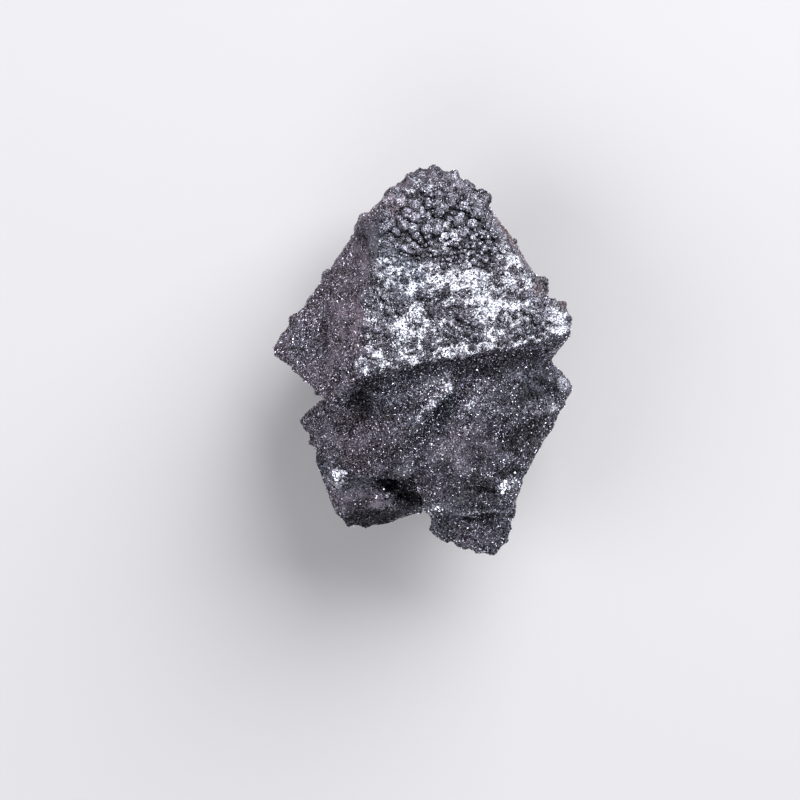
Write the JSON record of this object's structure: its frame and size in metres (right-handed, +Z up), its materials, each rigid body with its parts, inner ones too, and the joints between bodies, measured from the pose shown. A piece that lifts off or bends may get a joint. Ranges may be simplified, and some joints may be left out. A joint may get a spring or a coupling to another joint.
{
  "type": "hematite pseudomorph",
  "caption": "Cluster of intergrown octahedral hematite crystals with a nodular rounded top, lying on its back on small level areas.",
  "frame": {"origin": "centre of the bounding box at the level of the surface that the cluster rests on", "axes": "+Z up from the resting surface, +Y towards the rounded nodular top of the upper crystal, +X towards that crystal's right corner"},
  "size_m": [0.0294, 0.0382, 0.0235],
  "materials": {
    "hematite": "metallic dark steel grey with a purple-brown tint, covered with fine sparkling crystals"
  },
  "bodies": {
    "root": {"hematite_crystal_cluster": "hematite"}
  },
  "joints": []
}
